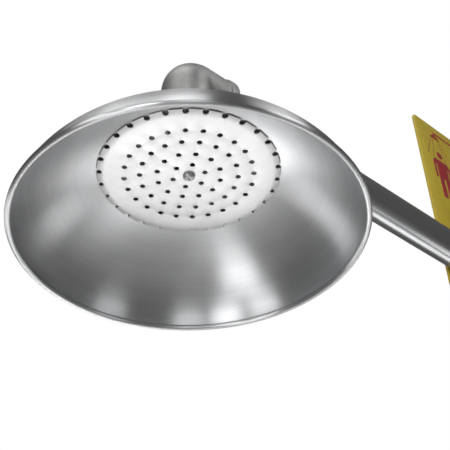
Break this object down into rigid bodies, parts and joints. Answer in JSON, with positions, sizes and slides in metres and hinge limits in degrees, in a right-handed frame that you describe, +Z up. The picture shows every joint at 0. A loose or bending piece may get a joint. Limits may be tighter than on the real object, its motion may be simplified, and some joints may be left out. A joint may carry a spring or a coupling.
{
  "type": "emergency drench shower",
  "caption": "Wall-arm emergency drench shower: spun steel bowl with perforated spray plate, elbow, pipe arm, sign plate, stay-open ball valve with lever and pull rod, and wall flange.",
  "frame": {"origin": "centre of the wall flange's back face, on the arm's axis, in the plane of the wall", "axes": "+X along the arm into the wall, +Z up; the bowl hangs on the -X end and the lever and pull rod are on the -Y side"},
  "size_m": [0.918, 0.26, 0.787],
  "materials": {
    "satin_steel": "spun and brushed, satin",
    "plate_steel": "fine matt, punched",
    "cast_steel": "investment cast, matt grey",
    "plated_brass": "nickel plated, semi-gloss",
    "fastener_steel": "plain bright stainless",
    "white_ptfe": "waxy white",
    "black_rubber": "matt",
    "sign_yellow": "printed aluminium sheet, semi-gloss"
  },
  "bodies": {
    "arm": {"shower_bowl": "satin_steel", "spray_plate": "plate_steel", "plate_screw": "fastener_steel", "plate_bridge": "fastener_steel", "inlet_socket": "plated_brass", "socket_gasket": "black_rubber", "socket_locknut": "plated_brass", "drop_nipple": "satin_steel", "pipe_elbow": "cast_steel", "arm_pipe": "satin_steel", "sign_plate": "sign_yellow", "sign_ubolt_left": "fastener_steel", "sign_ubolt_right": "fastener_steel", "sign_washer_1": "fastener_steel", "sign_washer_2": "fastener_steel", "sign_washer_3": "fastener_steel", "sign_washer_4": "fastener_steel", "sign_nut_1": "fastener_steel", "sign_nut_2": "fastener_steel", "sign_nut_3": "fastener_steel", "sign_nut_4": "fastener_steel", "valve_body": "plated_brass", "valve_end_cap": "plated_brass", "valve_seat_outlet": "white_ptfe", "valve_seat_inlet": "white_ptfe", "stem_thrust_washer": "white_ptfe", "stem_packing": "white_ptfe", "gland_nut": "plated_brass", "supply_nipple": "satin_steel", "wall_flange": "cast_steel", "flange_grub_screw": "fastener_steel"},
    "lever": {"valve_ball": "fastener_steel", "valve_stem": "fastener_steel", "valve_lever": "satin_steel", "lever_nut": "fastener_steel"},
    "pull_rod": {"rod_clevis": "fastener_steel", "clevis_pin": "fastener_steel", "pin_clip": "fastener_steel", "pull_rod": "satin_steel", "rod_locknut": "fastener_steel", "handle_locknut": "fastener_steel", "pull_handle": "satin_steel"}
  },
  "joints": [
    {"name": "lever_turn", "type": "hinge", "parent": "arm", "child": "lever", "pos_m": [-0.12, 0, 0], "axis": [0, -1, 0], "range_deg": [0, 90]},
    {"name": "rod_swing", "type": "hinge", "parent": "lever", "child": "pull_rod", "pos_m": [-0.235, -0.0441, 0], "axis": [0, -1, 0], "range_deg": [-90, 0]}
  ],
  "couplings": [
    {"joint": "rod_swing", "follows": "lever_turn", "ratio": -1}
  ]
}
